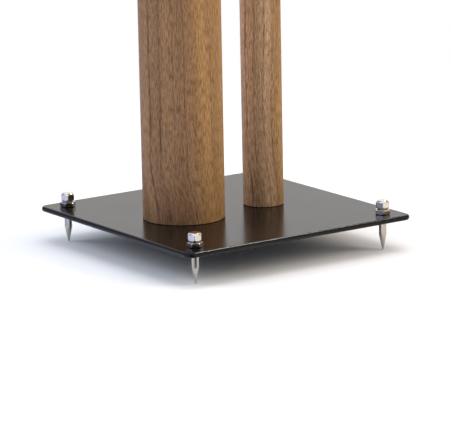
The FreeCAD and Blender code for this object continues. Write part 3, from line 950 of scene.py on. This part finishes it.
spikeTree = makeSpikeTree()
for corner in ("front_left", "front_right", "rear_left", "rear_right"):
    label = corner.title().replace("_", "")
    low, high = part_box("spike_" + corner)
    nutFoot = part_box("lock_nut_" + corner)[0].z
    x, y = (low.x + high.x) / 2, (low.y + high.y) / 2
    spike = growPiece("spike" + label, spikeTree, {
        **spikeFacts, "Place": (x, y, 0.0), "Turn": math.radians(spikeFacts["turns"][corner]),
        "Head Finish": chrome, "Shank Finish": turnedSteel})
    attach(spike, "spike_" + corner)
    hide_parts("spike_" + corner)
    nut = growPiece("lockNut" + label, hexagonTree, {
        **nutFacts, "Place": (x, y, nutFoot), "Turn": math.radians(nutFacts["turns"][corner]),
        "Finish": nickel})
    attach(nut, "lock_nut_" + corner)
    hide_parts("lock_nut_" + corner)
print("spikes and lock nuts made")


# countersunk column screws

screwFacts = {
    "head": 0.012, "shank": 0.006, "length": 0.013, "tipBevel": 0.0006,
    "socket": 0.004, "socketDepth": 0.0023, "socketCone": 0.0006,
    "socketSoft": (0.94, 0.0001),    # share of the socket at its foot, and the height of the step
    "socketMouth": (0.61, 0.0004),   # radius in socket widths, and the depth of the bevel
    "rim": (0.0002, 0.00005, 0.00007),   # softened edge of the head
    "around": 48, "stagger": 0.7,    # each screw stands turned by this much more
    "rings": {"main": (3, 0.022), "rear": (2, 0.008)},   # how many, and their circle's radius
}


def makeScrewPattern():  # one screw, its head's face on the floor and its end up
    socket, depth = screwFacts["socket"], screwFacts["socketDepth"]
    head, shank = screwFacts["head"] / 2, screwFacts["shank"] / 2
    length, bevel = screwFacts["length"], screwFacts["tipBevel"]
    (foot, footStep), (mouth, mouthStep) = screwFacts["socketSoft"], screwFacts["socketMouth"]
    inner, outer, rise = screwFacts["rim"]
    return turnRings("screwPattern", [
        ("pole", 0, depth + screwFacts["socketCone"]), ("hexagon", socket * foot, depth),
        ("hexagon", socket, depth - footStep), ("hexagon", socket, mouthStep),
        ("circle", socket * mouth, 0.0), ("circle", head - inner, 0.0),
        ("circle", head - outer, rise), ("circle", shank, head - shank),
        ("circle", shank, length - bevel), ("circle", shank - bevel, length),
        ("pole", 0, length)], screwFacts["around"], blackOxide)


def makeScrewTree():
    tree, given, result = newTree("screwRing", "GeometryNodeTree", [
        ("Screw", "Object", None), ("Count", "Int", 3), ("Radius", "Float", 0.022),
        ("Place", "Vector", None), ("Upside Down", "Bool", False),
    ], [("Screws", "Geometry", None)])
    index = addNode(tree, "GeometryNodeInputIndex")
    angle = over(tree, times(tree, index, math.tau), given["Count"])
    spots = joinXyz(tree, times(tree, given["Radius"], sine(tree, angle)),
                    times(tree, given["Radius"], cosine(tree, angle)), 0.0)
    circle = addNode(tree, "GeometryNodePoints", {"Count": given["Count"], "Position": spots})
    screw = addNode(tree, "GeometryNodeObjectInfo", {"Object": given["Screw"]}, "Geometry")
    flip = times(tree, given["Upside Down"], math.pi)
    placed = addNode(tree, "GeometryNodeInstanceOnPoints", {
        "Points": circle, "Instance": screw,
        "Rotation": joinXyz(tree, 0.0, flip, times(tree, index, screwFacts["stagger"]))})
    turned = moved(tree, placed, given["Place"])
    plug(tree, result["Screws"], addNode(tree, "GeometryNodeRealizeInstances", (turned,)))
    return tree


screw = makeScrewPattern()
screwTree = makeScrewTree()
for column, (count, radius) in screwFacts["rings"].items():
    for end in ("lower", "upper"):
        node = column + "_column_" + end + "_screws"
        low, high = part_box(node)
        upper = end == "upper"
        screws = growPiece(column + "Column" + end.capitalize() + "Screws", screwTree, {
            "Screw": screw, "Count": count, "Radius": radius, "Upside Down": upper,
            "Place": (0.0, veneerFacts[column]["y"], high.z if upper else low.z)})
        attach(screws, "stand")
        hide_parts(node)
bpy.data.objects.remove(screw)
print("column screws set")


# rubber pads on the top plate

padFacts = {
    "diameter": 0.014, "height": 0.0025, "edge": 0.0008, "around": 64,
    "apart": (0.144, 0.174), "foot": 0.6,
    "colour": (0.022, 0.022, 0.023), "bloom": (0.055, 0.054, 0.052),
    "roughness": 0.72, "spread": 0.06, "cloudSize": 140.0, "toothSize": 3200.0, "specks": 0.6,
    "bloomNoise": (210.0, 4.0), "bloomShare": (0.4, 0.8, 0.0, 0.5),
    "bump": 0.25, "relief": 0.00008,
    "footEdge": 0.0001, "edgeSteps": 6,
}


def makeRubber():
    material, tree, shader = newMaterial("padRubber")
    spot = addNode(tree, "ShaderNodeTexCoord", output="Object")
    mottle = addMottle(tree, spot, padFacts)
    bloom = ramp(tree, noise(tree, spot, *padFacts["bloomNoise"]), *padFacts["bloomShare"])
    colour = mixColour(tree, bloom, padFacts["colour"], padFacts["bloom"])
    fill(tree, shader.inputs, {"Base Color": colour, "Roughness": mottle.outputs["Roughness"]})
    addBump(tree, shader, mottle.outputs["Height"], padFacts["bump"], padFacts["relief"])
    return material


def makePadTree():
    tree, given, result = newTree("padCorners", "GeometryNodeTree", [
        ("Pad", "Object", None), ("Apart X", "Float", 0.144), ("Apart Y", "Float", 0.174),
        ("Foot", "Float", 0.6), ("Finish", "Material", None),
    ], [("Pads", "Geometry", None)])
    corners = addNode(tree, "GeometryNodeMeshGrid", {
        "Size X": given["Apart X"], "Size Y": given["Apart Y"], "Vertices X": 2, "Vertices Y": 2})
    pad = addNode(tree, "GeometryNodeObjectInfo", {"Object": given["Pad"]}, "Geometry")
    placed = addNode(tree, "GeometryNodeInstanceOnPoints", {"Points": corners, "Instance": pad})
    lifted = moved(tree, placed, joinXyz(tree, 0.0, 0.0, given["Foot"]))
    plug(tree, result["Pads"], finished(tree, lifted, given["Finish"]))
    return tree


def padRings():
    radius, height, edge = padFacts["diameter"] / 2, padFacts["height"], padFacts["edge"]
    foot, steps = padFacts["footEdge"], padFacts["edgeSteps"]
    rings = [("pole", 0, 0.0), ("circle", radius - foot, 0.0), ("circle", radius, foot)]
    for step in range(steps + 1):
        angle = math.radians(90 / steps * step)
        inwards, downwards = edge * (1 - math.cos(angle)), edge * (1 - math.sin(angle))
        rings.append(("circle", radius - inwards, height - downwards))
    return rings + [("pole", 0, height)]


padRubber = makeRubber()
pad = turnRings("padPattern", padRings(), padFacts["around"], padRubber)
pads = growPiece("rubberPads", makePadTree(), {
    "Pad": pad, "Apart X": padFacts["apart"][0], "Apart Y": padFacts["apart"][1],
    "Foot": padFacts["foot"], "Finish": padRubber})
bpy.data.objects.remove(pad)
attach(pads, "stand")
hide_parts(*["rubber_pad_" + corner for corner in spikeFacts["turns"]])
print("rubber pads set")
